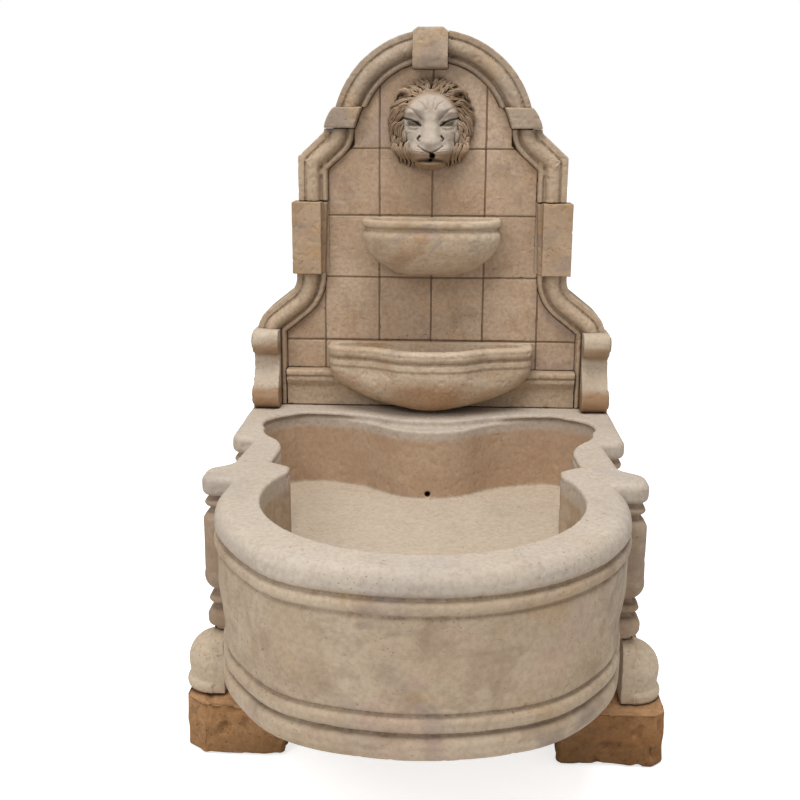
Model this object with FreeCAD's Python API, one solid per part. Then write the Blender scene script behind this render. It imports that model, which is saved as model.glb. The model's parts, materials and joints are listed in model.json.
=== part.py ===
import FreeCAD, Part
import math
import os

os.makedirs("parts", exist_ok=True)

V = FreeCAD.Vector

# Carved stone wall fountain on two rough blocks. Millimetres, +Z up.
# While it is built, the visible face of the tiled panel is y = 0, the water side is -y
# and the garden wall is +y. Everything is moved at the end so that the origin is
# the bottom centre of the whole fountain.

# Heights above the ground
BLOCK_H = 150.0
FOOT_H = 170.0
BASIN_H = 420.0
FOOT_TOP = BLOCK_H + FOOT_H
RIM = FOOT_TOP + BASIN_H

# Clearances
TILE_JOINT = 3.0
PIPE_CLEAR = 0.5

# Back panel
TILE_T = 30.0
SLAB_T = 80.0
BACK = TILE_T + SLAB_T

# Basin plan
LOBE_Y = -897.0
LOBE_IN_R = 384.0
LOBE_R = 488.0
ROLL_OUT = 5.0
SIDE_X = 557.0
PIER_X = 561.0
PIER_FRONT = -800.0
BOWL_DEPTH = 229.0
COPING_T = 20.0
REAR_NOSE = 256.0
COPING_NOSE = 206.0
WAVE_X = 376.0
WAVE_SHARE = 0.36

# Bearers and blocks under the basin; each bearer ends in a domed ball on a lip
FOOT_IN_X = 512.0
FOOT_FACE_W = 33.0
FOOT_BODY_W = 115.0
FOOT_FRONT = PIER_FRONT - 4.0
BALL_R = 73.0
BALL_H = 150.0
LIP_R = 80.0
LIP_H = 27.0
BLOCK_IN_X = 342.0
BLOCK_OUT_X = {"left": 615.0, "right": 625.0}
BLOCK_WORN = {"left": 50.0, "right": 30.0}
BLOCK_FRONT = -856.0

# Frame of the panel
ARCH_R = 302.0
ARCH_Z = RIM + 828.0
BAND_W = 89.0
BAND_FACE = -32.0
ROLL_FACE = -48.0
BEAD_FACE = -22.0
NECK_X = 404.0
IMPOST_Z = (RIM + 848.0, RIM + 910.0)
PLAQUE_Z = (RIM + 416.0, RIM + 634.0)
PLAQUE_X = (332.0, 421.0)
BLOCK_FACE = -66.0
KEY_X = -10.0
KEY_W = 104.0
KEY_DROP = 111.0
KEY_RISE = 4.0
KEY_FACE = -78.0

# Brackets and plinth at the foot of the panel
CONSOLE_X = (466.0, 546.0)
CONSOLE_H = 244.0
CONSOLE_FACE = -84.0
SCROLL_OUT = 6.0
PLINTH_H = 115.0
OGEE_X = 538.0

# Tiled panel: vertical joints and horizontal joints
TILE_X = (-328.0, -160.0, 0.0, 160.0, 328.0)
TILE_Z = (RIM + PLINTH_H, RIM + 205.0, RIM + 402.0, RIM + 591.0, RIM + 790.0)

# Bowls: rim, height over all, wall round the hollow and depth of the hollow
UPPER_RIM = RIM + 588.0
UPPER_H = 170.0
UPPER_WALL = 30.0
UPPER_DEEP = 75.0
LOWER_RIM = RIM + 204.0
LOWER_H = 190.0
LOWER_WALL = 36.0
LOWER_DEEP = 95.0

# Lion mask
MASK_X = 0.0
MASK_Z = RIM + 862.0
MASK_MOUTH_Z = RIM + 771.0

# Water pipe
PIPE_R = 7.5
PIPE_BORE_R = 6.5
ELBOW_R = 11.0
ELBOW_ARM = 24.0
PIPE_Y = 86.0
CHASE_HALF = 20.0
CHASE_DEEP = 50.0
INLET_Z = RIM - 214.0

# Steel pins that carry the bowls and the mask
PIN_R = 6.0
PIN_L = 90.0

# Blind holes in the back for two ties into the garden wall
TIE_R = 6.0
TIE_DEEP = 60.0
TIE_X = 150.0
TIE_Z = RIM + 700.0


def box(x0, x1, y0, y1, z0, z1):
    return Part.makeBox(x1 - x0, y1 - y0, z1 - z0, V(x0, y0, z0))


def path(start, steps):
    """Edges from start; a step is an end point, or a middle point and an end point."""
    edges = []
    here = start
    for step in steps:
        if len(step) == 2:
            edges.append(Part.Arc(here, step[0], step[1]).toShape())
            here = step[1]
        else:
            edges.append(Part.makeLine(here, step[0]))
            here = step[0]
    return edges


def prism(edges, move):
    return Part.Face(Part.Wire(edges)).extrude(move)


def mirror_x(shape):
    return shape.mirror(V(0, 0, 0), V(1, 0, 0))


def both(right):
    return (mirror_x(right), right)


def rounded(shape, radius, keep):
    """Fillet the edges for which keep(edge) holds."""
    edges = [e for e in shape.Edges if keep(e)]
    return shape.makeFillet(radius, edges) if edges else shape


def at_z(z):
    return lambda e: abs(e.BoundBox.ZMin - z) < 0.01 and abs(e.BoundBox.ZMax - z) < 0.01


def at_y(y):
    return lambda e: abs(e.BoundBox.YMin - y) < 0.01 and abs(e.BoundBox.YMax - y) < 0.01


def ends(z0, z1, wall_y):
    """Edges round the top and bottom of a layer, except along the wall behind it."""
    return lambda e: (at_z(z0)(e) or at_z(z1)(e)) and not at_y(wall_y)(e)


def level(edges, z0, z1, inset=0.0):
    """A layer with a plan outline, drawn in by inset, between two heights."""
    face = Part.Face(Part.Wire(edges))
    if inset:
        face = face.makeOffset2D(-inset)
    face.translate(V(0, 0, z0))
    return face.extrude(V(0, 0, z1 - z0))


def on_floor(x, y):
    return V(x, y, 0)


def upright(x, z):
    return V(x, 0, z)


def sideways(y, z):
    return V(0, y, z)


def soft(points, put=on_floor):
    """Edges through points (a, b, radius), each inner corner rounded by its radius."""
    edges = []
    here = put(*points[0][:2])
    for before, point, after in zip(points, points[1:], points[2:]):
        corner = put(*point[:2])
        if len(point) == 2:
            edges.append(Part.makeLine(here, corner))
            here = corner
            continue
        back = (put(*before[:2]) - corner).normalize()
        on = (put(*after[:2]) - corner).normalize()
        half = back.getAngle(on) / 2
        run = point[2] / math.tan(half)
        middle = corner + (back + on).normalize() * (point[2] / math.sin(half) - point[2])
        edges.append(Part.makeLine(here, corner + back * run))
        edges.append(Part.Arc(corner + back * run, middle, corner + on * run).toShape())
        here = corner + on * run
    edges.append(Part.makeLine(here, put(*points[-1][:2])))
    return edges


def closed(points, put=on_floor):
    """The same, joined back to its start."""
    return soft(list(points) + [points[0]], put)


def closed_plan(right, y_back):
    """Right half outline from the back corner to the centre line, its mirror and the back."""
    left = [mirror_x(e) for e in right]
    x_back = right[0].BoundBox.XMax
    back = Part.makeLine(V(-x_back, y_back, 0), V(x_back, y_back, 0))
    return Part.__sortEdges__(right + left + [back])


def rear_plan():
    """Rear part of the basin: sides that swell, draw in and end in a pier."""
    right = soft([(SIDE_X, BACK, 0), (SIDE_X, -412, 42), (488, -424, 27), (504, -662, 60),
                  (PIER_X, -706, 38), (PIER_X, PIER_FRONT, 37), (0, PIER_FRONT, 0)])
    return closed_plan(right, BACK)


def rear_body():
    plan = rear_plan()
    # the upper layers hang from the rim and the lower ones stand on the bearers, with the
    # die between them; the last number is how far the face is drawn in
    cap = rounded(level(plan, RIM - 54, RIM, 0), 17.0, ends(RIM, RIM - 54, BACK))
    layers = [cap]
    layers.append(level(plan, RIM - 64, RIM - 54, 16.0))
    fillet = level(plan, RIM - 83, RIM - 64, 6.0)
    edge = ends(RIM - 83, RIM - 64, BACK - 6)
    layers.append(fillet.makeChamfer(5.0, [e for e in fillet.Edges if edge(e)]))
    layers.append(level(plan, RIM - 96, RIM - 83, 19.0))
    die = level(plan, FOOT_TOP + 108, RIM - 96, 0)
    top = ends(RIM - 96, RIM - 96, BACK)
    foot_edge = ends(FOOT_TOP + 108, FOOT_TOP + 108, BACK)
    die = die.makeChamfer(15.0, [e for e in die.Edges if top(e)])
    die = die.makeChamfer(24.0, [e for e in die.Edges if foot_edge(e)])
    layers.append(die)
    layers.append(level(plan, FOOT_TOP + 96, FOOT_TOP + 108, 26.0))
    bead = level(plan, FOOT_TOP + 76, FOOT_TOP + 96, 8.0)
    edge = ends(FOOT_TOP + 76, FOOT_TOP + 96, BACK - 8)
    layers.append(bead.makeChamfer(6.0, [e for e in bead.Edges if edge(e)]))
    layers.append(level(plan, FOOT_TOP + 59, FOOT_TOP + 76, 26.0))
    layers.append(rounded(level(plan, FOOT_TOP + 9, FOOT_TOP + 59, 4.0), 20.0,
                          ends(FOOT_TOP + 9, FOOT_TOP + 59, BACK - 4)))
    layers.append(level(plan, FOOT_TOP, FOOT_TOP + 9, 22.0))
    return layers


def lobe_body():
    r = LOBE_R
    out = LOBE_R + ROLL_OUT

    def p(radius, drop):
        return V(radius, LOBE_Y, RIM - drop)

    edges = path(p(0, 0), [
        (p(out - 38, 0),),
        (p(out - 12.5, 12.5), p(out, 38)),
        (p(out - 2, 48), p(r - 5, 57)),
        (p(r + 3, 73), p(r - 5, 89)),
        (p(r, 94),),
        (p(r, BASIN_H - 117),),
        (p(r - 8, BASIN_H - 113),),
        (p(r + 3, BASIN_H - 92), p(r - 5, BASIN_H - 71)),
        (p(r + 8, BASIN_H - 40), p(r + 2, BASIN_H - 18)),
        (p(r - 3.3, BASIN_H - 5.3), p(r - 16, BASIN_H)),
        (p(0, BASIN_H),),
        (p(0, 0),),
    ])
    return Part.Face(Part.Wire(edges)).revolve(V(0, LOBE_Y, 0), V(0, 0, 1), 360)


CUSP = V(346.0, -690.0, 0)


def wave(start, end, share):
    """Two tangent arcs, level at both ends, that meet at a share of the way along."""
    turn = start + (end - start) * share
    steps = []
    for tip, other in ((start, turn), (end, turn)):
        run = other - tip
        radius = (run.x ** 2 + run.y ** 2) / (2 * abs(run.y))
        half = math.atan2(abs(run.y), abs(run.x))
        along = math.copysign(radius * math.sin(half), run.x)
        rise = math.copysign(radius * (1 - math.cos(half)), run.y)
        steps.append(tip + V(along, rise, 0))
    return [(steps[0], turn), (steps[1], end)]


def pocket_plan(nose, hollow, corner):
    """Inside outline behind the cusps: the waved rear wall and the bulged sides."""
    nose_tip = V(0, -nose, 0)
    right = path(nose_tip, wave(nose_tip, V(WAVE_X, -hollow, 0), WAVE_SHARE) + [
        (V(397, -hollow - 0.3 * (corner - hollow), 0), V(415, -corner, 0)),
        (V(455, -corner - 28, 0), V(474, -300, 0)),
        (V(467, -350, 0), V(438, -405, 0)),
        (V(405, -470, 0), V(399, -560, 0)),
        (V(400, -610, 0), V(404, -645, 0)),
        (V(378, -662, 0), CUSP),
    ])
    left = [mirror_x(e) for e in right]
    lip = Part.makeLine(CUSP, V(-CUSP.x, CUSP.y, 0))
    return Part.__sortEdges__(right + [lip] + left)


def basin():
    solid = lobe_body()
    keep = box(-700, 700, -1600, -650, 0, RIM + 10)
    solid = solid.common(keep)
    for layer in rear_body():
        solid = solid.fuse(layer)
    floor = RIM - BOWL_DEPTH
    # wall below the coping, then the coping line itself, then the round lobe
    wall = level(pocket_plan(REAR_NOSE, 99.0, 120.0), floor, RIM - COPING_T)
    top = level(pocket_plan(COPING_NOSE, 108.0, 134.0), RIM - COPING_T, RIM + 1)
    throat = box(-CUSP.x, CUSP.x, CUSP.y - 30.0, CUSP.y, floor, RIM + 1)
    round_in = Part.makeCylinder(LOBE_IN_R, BOWL_DEPTH + 1, V(0, LOBE_Y, floor))
    limit = box(-700, 700, -1600, CUSP.y, floor, RIM + 1)
    inside = wall.fuse(top).fuse(throat).fuse(round_in.common(limit))
    solid = solid.cut(inside).removeSplitter()
    hole = Part.makeCylinder(PIPE_R + PIPE_CLEAR, 500.0, V(0, BACK, INLET_Z), V(0, -1, 0))
    chase = box(-CHASE_HALF, CHASE_HALF, BACK - CHASE_DEEP, BACK,
                INLET_Z - CHASE_HALF, RIM)
    return solid.cut(hole).cut(chase)


def foot():
    """Stone bearer under one side of the basin, with a ball on the outside of its front end."""
    x_in = FOOT_IN_X
    x_out = x_in + FOOT_FACE_W
    step = FOOT_FRONT + 2 * BALL_R
    plan = closed([(x_out - FOOT_BODY_W, BACK), (x_out, BACK), (x_out, FOOT_FRONT),
                   (x_in, FOOT_FRONT), (x_in, step), (x_out - FOOT_BODY_W, step)])
    side = prism(closed([(BACK, BLOCK_H), (BACK, FOOT_TOP), (FOOT_FRONT, FOOT_TOP, 50),
                         (FOOT_FRONT, BLOCK_H)], sideways), V(2 * x_out, 0, 0))
    bearer = level(plan, BLOCK_H, FOOT_TOP).common(side)
    axis = V(x_out, FOOT_FRONT + BALL_R + 2, 0)

    def p(radius, height):
        return axis + V(radius, 0, BLOCK_H + height)

    edges = path(p(0, 0), [
        (p(LIP_R - 4, 0),),
        (p(LIP_R, LIP_H / 2), p(LIP_R - 4, LIP_H),),
        (p(BALL_R - 3, LIP_H + 4),),
        (p(BALL_R, LIP_H + 30),),
        (p(BALL_R * 0.80, BALL_H * 0.79), p(0, BALL_H)),
        (p(0, 0),),
    ])
    ball = Part.Face(Part.Wire(edges)).revolve(axis, V(0, 0, 1), 360)
    outside = box(x_out, x_out + 2 * LIP_R, FOOT_FRONT - LIP_R, FOOT_FRONT + 3 * LIP_R, 0, RIM)
    return bearer.fuse(ball.common(outside)).removeSplitter()


def support(side):
    """A rough block with its outer front corner worn away."""
    x0 = BLOCK_IN_X
    x1 = BLOCK_OUT_X[side]
    worn = BLOCK_WORN[side]
    outline = closed([(x0, BACK), (x0, BLOCK_FRONT + 14), (x0 + 14, BLOCK_FRONT),
                      (x1 - worn, BLOCK_FRONT, 10), (x1, BLOCK_FRONT + worn, 10), (x1, BACK)])
    body = level(outline, 0.0, BLOCK_H)
    return body.makeChamfer(6.0, [e for e in body.Edges if at_z(0.0)(e)])


# Moulding of the panel frame: distance in from its outer edge, and face
def band_profile(to_space):
    def p(inward, y):
        return to_space(inward, y)

    edges = path(p(0, TILE_T), [
        (p(0, BAND_FACE + 3),),
        (p(3, BAND_FACE),),
        (p(21, BAND_FACE),),
        (p(23, BAND_FACE + 8),),
        (p(45, ROLL_FACE), p(67, BAND_FACE + 8)),
        (p(70, BAND_FACE + 10),),
        (p(76, BEAD_FACE - 4), p(82, BEAD_FACE + 8)),
        (p(BAND_W, -2),),
        (p(BAND_W, TILE_T),),
        (p(0, TILE_T),),
    ])
    return Part.Wire(edges)


def band_along(corners):
    """Sweep the moulding down an outer edge."""
    x, z = corners[0]
    sweep = Part.BRepOffsetAPI.MakePipeShell(Part.Wire(soft(corners, upright)))
    sweep.setTransitionMode(1)
    sweep.setBiNormalMode(V(0, 1, 0))
    sweep.add(band_profile(lambda d, y: V(x - d, y, z)))
    sweep.build()
    sweep.makeSolid()
    return sweep.shape()


def arch():
    ring = Part.Face(band_profile(lambda d, y: V(ARCH_R - d, y, ARCH_Z)))
    return ring.revolve(V(0, 0, ARCH_Z), V(0, 1, 0), -91)


def impost():
    z0, z1 = IMPOST_Z
    outline = path(V(232, 0, z0), [
        (V(323, 0, z0),),
        (V(315, 0, z0 + 28), V(293, 0, z1)),
        (V(209, 0, z1),),
        (V(224, 0, z0 + 26), V(232, 0, z0)),
    ])
    body = prism(outline, V(0, TILE_T - BLOCK_FACE, 0))
    body.translate(V(0, BLOCK_FACE, 0))
    return rounded(body, 6.0, at_y(BLOCK_FACE))


SHOULDER = ((325.0, IMPOST_Z[0]), (325.0, RIM + 838), (NECK_X, RIM + 766), (NECK_X, PLAQUE_Z[1]))
OGEE = ((413.0, PLAQUE_Z[0]), (413.0, RIM + 373, 60), (OGEE_X, RIM + 274, BAND_W + 4),
        (OGEE_X, RIM))


def plaque():
    """Plain block that breaks the frame, with the frame's inner edge running on beside it."""
    z0, z1 = PLAQUE_Z
    body = box(PLAQUE_X[0], PLAQUE_X[1], BLOCK_FACE, TILE_T, z0, z1)
    body = rounded(body, 6.0, at_y(BLOCK_FACE))
    return body.fuse(box(NECK_X - BAND_W, PLAQUE_X[0], BEAD_FACE, TILE_T, z0, z1))


def keystone():
    z0 = ARCH_Z + ARCH_R - KEY_DROP
    z1 = ARCH_Z + ARCH_R + KEY_RISE
    side = closed([(TILE_T, z0), (KEY_FACE + 6, z0, 10), (KEY_FACE - 4, z0 + 30, 40),
                   (KEY_FACE + 8, z1, 8), (TILE_T, z1)], sideways)
    body = prism(side, V(KEY_W, 0, 0))
    body.translate(V(KEY_X - KEY_W / 2, 0, 0))
    for s in (-1, 1):
        out = KEY_X + s * (KEY_W / 2 + 1)
        corner = closed([(out, z1 + 1), (out, z1 - 13), (out - s * 17, z1 + 1)], upright)
        cut = prism(corner, V(0, 200, 0))
        cut.translate(V(0, -120, 0))
        body = body.cut(cut)
    return body


def console():
    """Scroll bracket: a roll at the top, a hollow shaft that spreads, and a roll at the foot."""
    x0, x1 = CONSOLE_X
    z0 = RIM
    face = CONSOLE_FACE
    side = path(sideways(TILE_T, z0), [
        (sideways(face + 8, z0),),
        (sideways(face - 9, z0 + 20), sideways(face - 8, z0 + 48)),
        (sideways(face + 1, z0 + 76), sideways(face + 22, z0 + 112)),
        (sideways(face + 32, z0 + 144), sideways(face + 28, z0 + 170)),
        (sideways(face, z0 + 182), sideways(face - 6, z0 + 210)),
        (sideways(face + 2, z0 + 233), sideways(face + 26, z0 + CONSOLE_H)),
        (sideways(TILE_T, z0 + CONSOLE_H),),
        (sideways(TILE_T, z0),),
    ])
    body = prism(side, V(x1 - x0, 0, 0))
    body.translate(V(x0, 0, 0))
    for y, z, radius in ((face + 28, 210.0, 24.0), (face + 26, 38.0, 30.0)):
        scroll = Part.makeCylinder(radius, SCROLL_OUT + 4, V(x1 - 4, y, z0 + z), V(1, 0, 0))
        body = body.fuse(scroll)
    return body


def plinth():
    """Base moulding of the panel, between the legs of the frame."""
    z0 = RIM
    top = z0 + PLINTH_H
    side = closed([(TILE_T, z0), (-24, z0), (-24, z0 + 60, 14), (-36, z0 + 77), (-38, z0 + 80),
                   (-38, z0 + 90), (-30, z0 + 93), (-41, z0 + 97, 4), (-41, top, 9), (TILE_T, top)],
                  sideways)
    width = 2 * (OGEE_X - BAND_W)
    body = prism(side, V(width, 0, 0))
    body.translate(V(-width / 2, 0, 0))
    return body


def back_plan():
    """Outline of the whole back, as a flat face at y = 0."""
    z_leg = IMPOST_Z[0]
    x_leg = math.sqrt(ARCH_R ** 2 - (z_leg - ARCH_Z) ** 2)
    mid = math.radians(48.0)
    right = soft(OGEE, upright) + soft(SHOULDER, upright)
    right += path(V(OGEE[0][0], 0, OGEE[0][1]), [
        (V(NECK_X, 0, PLAQUE_Z[0]),),
        (V(NECK_X, 0, PLAQUE_Z[1]),),
    ])
    right += path(V(SHOULDER[0][0], 0, z_leg), [
        (V(x_leg, 0, z_leg),),
        (V(ARCH_R * math.cos(mid), 0, ARCH_Z + ARCH_R * math.sin(mid)), V(0, 0, ARCH_Z + ARCH_R)),
    ])
    left = [mirror_x(e) for e in right]
    base = Part.makeLine(V(-OGEE_X, 0, RIM), V(OGEE_X, 0, RIM))
    return Part.Face(Part.Wire(Part.__sortEdges__(right + left + [base])))


def slab():
    body = back_plan().extrude(V(0, SLAB_T, 0))
    body.translate(V(0, TILE_T, 0))
    chase = box(-CHASE_HALF, CHASE_HALF, BACK - CHASE_DEEP, BACK,
                RIM, MASK_MOUTH_Z + CHASE_HALF)
    body = body.cut(chase)
    for x in (-TIE_X, TIE_X):
        body = body.cut(Part.makeCylinder(TIE_R, TIE_DEEP, V(x, BACK, TIE_Z), V(0, -1, 0)))
    return body


def panel_field(frame):
    """The field that the tiles fill: the back outline less every stone of the frame."""
    field = back_plan().extrude(V(0, TILE_T, 0))
    for stone in frame:
        field = max(field.cut(stone).Solids, key=lambda part: part.Volume)
    return field


def ellipsoid(cx, cy, cz, rx, ry, rz):
    ball = Part.makeSphere(1.0)
    grow = FreeCAD.Matrix()
    grow.scale(V(rx, ry, rz))
    ball = ball.transformGeometry(grow)
    ball.translate(V(cx, cy, cz))
    return ball


def pins(places):
    group = []
    for x, z, y0 in places:
        group.append(Part.makeCylinder(PIN_R, PIN_L, V(x, y0, z), V(0, 1, 0)))
    return group


UPPER_PLAN = ((208, 0, 0), (208, -112, 50), (142, -176, 72), (0, -182, 0))
LOWER_PLAN = ((315, 0, 0), (315, -110, 46), (168, -127, 60), (98, -196, 62), (0, -209, 0))


def bowl(plan_points, rim_z, height, roll_h, bead_h, foot, wall, deep):
    """Half bowl against the panel: rolled rim, bead, and a body that closes to its foot.

    foot is the size of the underside, across and forward, as shares of the rim. The
    hollow keeps the wall on all sides, also against the panel, and narrows to its floor.
    """
    half = plan_points[0][0]
    nose = -plan_points[-1][1]

    def outline(across, forward, z):
        shrink = min(across, forward)
        points = [(x * across, y * forward, r * shrink) for x, y, r in plan_points]
        wire = Part.Wire(closed_plan(soft(points), 0))
        wire.translate(V(0, 0, z))
        return wire

    def ring(z0, z1, inset, radius):
        share = (half - inset) / half
        body = Part.Face(outline(share, share, z0)).extrude(V(0, 0, z1 - z0))
        return rounded(body, radius, ends(z0, z1, 0)) if radius else body

    def taper(start, end, t):
        return start * math.sqrt(1.0 - (1.0 - (end / start) ** 2) * t ** 2)

    z1 = rim_z - roll_h
    z2 = z1 - bead_h
    z_end = rim_z - height
    body = ring(z1, rim_z, 0, roll_h * 0.36)
    body = body.fuse(ring(z1 - 4, z1, 12, 0))
    body = body.fuse(ring(z2, z1 - 4, 3, min(bead_h * 0.3, 6.0)))
    start = (half - 11.0) / half
    steps = (0.0, 0.4, 0.75, 1.0)
    wires = [outline(taper(start, foot[0], t), taper(start, foot[1], t), z2 + (z_end - z2) * t)
             for t in steps]
    body = body.fuse(Part.makeLoft(wires, True, False))
    mouth = Part.Face(outline(1.0, 1.0, 0.0)).makeOffset2D(-wall).OuterWire
    hollow = []
    for t in (0.0, 0.6, 1.0):
        ring_in = mouth.scaled(taper(1.0, 0.6, t), V(0, -nose / 2, 0))
        ring_in.translate(V(0, 0, rim_z + 0.5 - (deep + 0.5) * t))
        hollow.append(ring_in)
    return body.cut(Part.makeLoft(hollow, True, False)).removeSplitter()


def mask():
    """Lion's head in a round of mane, flat at the back against the tiles."""
    x, z = MASK_X, MASK_Z
    outline = [(0, 134), (-52, 128), (-98, 104), (-128, 62), (-136, 8), (-124, -52),
               (-96, -104), (-50, -128), (0, -134), (50, -128), (94, -104), (120, -52),
               (130, 8), (122, 62), (94, 104), (50, 128)]
    curve = Part.BSplineCurve()
    curve.interpolate(Points=[V(x + a, 0, z + b) for a, b in outline], PeriodicFlag=True)
    rim = Part.Wire([curve.toShape()])
    front = rim.copy()
    front = front.scaled(0.74, V(x, 0, z + 6))
    front.translate(V(0, -58, 0))
    middle = rim.scaled(0.97, V(x, 0, z))
    middle.translate(V(0, -26, 0))
    body = Part.makeLoft([rim, middle, front], True, False)
    body = body.fuse(ellipsoid(x, -38, z + 2, 74, 62, 86))
    body = body.fuse(ellipsoid(x, -66, z - 26, 34, 54, 40))
    body = body.fuse(ellipsoid(x, -58, z + 28, 40, 40, 30))
    for s in (-1, 1):
        body = body.fuse(ellipsoid(x + s * 50, -52, z + 66, 22, 26, 20))
    return body.common(box(-200, 200, -200, 0, z - 200, z + 200))


def tube(radius, bore, length, start, direction):
    outer = Part.makeCylinder(radius, length, start, direction)
    return outer.cut(Part.makeCylinder(bore, length, start, direction))


def elbow(centre, first, second):
    """Socket elbow; each pipe is pushed in to a shoulder one pipe radius short of centre."""
    stop = PIPE_R + 2.0
    body = Part.makeSphere(ELBOW_R, centre)
    for way in (first, second):
        body = body.fuse(Part.makeCylinder(ELBOW_R, ELBOW_ARM, centre, way))
    for way in (first, second):
        seat = centre + way * stop
        body = body.cut(Part.makeCylinder(PIPE_R, ELBOW_ARM, seat, way))
        body = body.cut(Part.makeCylinder(PIPE_BORE_R, stop, centre, way))
    return body.cut(Part.makeSphere(PIPE_BORE_R, centre))


def pipes():
    up = V(0, 0, 1)
    out = V(0, -1, 0)
    low = V(0, PIPE_Y, INLET_Z)
    high = V(0, PIPE_Y, MASK_MOUTH_Z)
    stop = PIPE_R + 2.0
    rise = high.z - low.z - 2 * stop
    return {
        "elbow_lower": elbow(low, out, up),
        "elbow_upper": elbow(high, out, up * -1),
        "pipe_inlet": tube(PIPE_R, PIPE_BORE_R, PIPE_Y - stop + REAR_NOSE - 4.0,
                           low + out * stop, out),
        "pipe_riser": tube(PIPE_R, PIPE_BORE_R, rise, low + up * stop, up),
        "pipe_spout": tube(PIPE_R, PIPE_BORE_R, PIPE_Y - stop + 92.0,
                           high + out * stop, out),
    }


def clip(z):
    body = box(-CHASE_HALF, CHASE_HALF, BACK - CHASE_DEEP, PIPE_Y + PIPE_R + 4.0, z - 9, z + 9)
    return body.cut(Part.makeCylinder(PIPE_R, 30, V(0, PIPE_Y, z - 15)))


nodes = {}
nodes["basin"] = [basin()]
for side, solid in zip(("left", "right"), both(foot())):
    nodes["foot_" + side] = [solid]
nodes["support_block_left"] = [mirror_x(support("left"))]
nodes["support_block_right"] = [support("right")]
nodes["keystone"] = [keystone()]
bracket = console()
above_impost = box(-400, 400, -100, 100, IMPOST_Z[1], RIM + 1300)
for name, solid in (("arch", arch().common(above_impost)), ("impost", impost()),
                    ("shoulder", band_along(SHOULDER)), ("plaque", plaque()),
                    ("ogee", band_along(OGEE).cut(bracket)), ("console", bracket)):
    for side, one in zip(("left", "right"), both(solid)):
        if name == "arch":
            wedge = box(KEY_X - KEY_W / 2, KEY_X + KEY_W / 2, -100, 100, RIM, RIM + 1300)
            half_space = box(*sorted((KEY_X, 500.0 if side == "right" else -500.0)), -100, 100,
                             RIM, RIM + 1300)
            one = one.cut(wedge).common(half_space)
        nodes[name + "_" + side] = [one]
nodes["upper_bowl"] = [bowl(UPPER_PLAN, UPPER_RIM, UPPER_H, 24.0, 18.0, (0.45, 0.45),
                            UPPER_WALL, UPPER_DEEP)]
nodes["lower_bowl"] = [bowl(LOWER_PLAN, LOWER_RIM, LOWER_H, 38.0, 26.0, (0.38, 0.70),
                            LOWER_WALL, LOWER_DEEP)]
nodes["plinth_moulding"] = [plinth().cut(nodes["lower_bowl"][0])]
frame = [nodes[name][0] for name in nodes
         if name.split("_")[0] in ("keystone", "arch", "impost", "shoulder", "plaque", "ogee",
                                   "console", "plinth")]
nodes["backing_slab"] = [slab()]

region = panel_field(frame)
columns = (-600.0,) + TILE_X + (600.0,)
rows = TILE_Z + (RIM + 1200.0,)
half_joint = TILE_JOINT / 2
for r in range(len(rows) - 1):
    count = 0
    for c in range(len(columns) - 1):
        x0 = columns[c] + half_joint
        x1 = columns[c + 1] - half_joint
        z0 = rows[r] + (half_joint if r else 0.0)
        tile = region.common(box(x0, x1, 0, TILE_T, z0, rows[r + 1] - half_joint))
        if tile.Volume > 30000.0:
            count += 1
            nodes["tile_r%d_c%d" % (len(rows) - 1 - r, count)] = [tile.Solids[0]]

nodes["lion_mask"] = [mask()]

plumbing = pipes()
for name, solid in plumbing.items():
    nodes[name] = [solid]
clip_heights = [RIM + 120.0, RIM + 380.0, RIM + 640.0]
nodes["pipe_clips"] = [clip(z) for z in clip_heights]

pin_places = {
    "upper_bowl": [(-75.0, UPPER_RIM - 100, -45.0), (75.0, UPPER_RIM - 100, -45.0)],
    "lower_bowl": [(-110.0, LOWER_RIM - 125, -45.0), (110.0, LOWER_RIM - 125, -45.0)],
    "lion_mask": [(-60.0, MASK_Z, -30.0), (60.0, MASK_Z, -30.0)],
}
nodes["pins"] = []
for owner, places in pin_places.items():
    nodes["pins"] += pins(places)

# Holes for the pins and for the spout
drilled = ("backing_slab", "upper_bowl", "lower_bowl", "lion_mask", "plinth_moulding")
for name in nodes:
    if name not in drilled and not name.startswith("tile_"):
        continue
    solid = nodes[name][0]
    for pin in nodes["pins"]:
        if pin.common(solid).Volume > 1.0:
            solid = solid.cut(pin)
    spout_hole = Part.makeCylinder(PIPE_R + PIPE_CLEAR, 300.0, V(0, PIPE_Y, MASK_MOUTH_Z), V(0, -1, 0))
    if spout_hole.common(solid).Volume > 1.0:
        solid = solid.cut(spout_hole)
    nodes[name] = [solid]

# The fountain is as deep as from the front of the lobe's roll to the back of the slab
shift = V(0, -(LOBE_Y - LOBE_R - ROLL_OUT + BACK) / 2, 0)
for name, group in nodes.items():
    shape = group[0] if len(group) == 1 else Part.makeCompound(group)
    shape = shape.copy()
    shape.translate(shift)
    shape.exportStep("parts/%s.step" % name)
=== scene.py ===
import math

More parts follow.
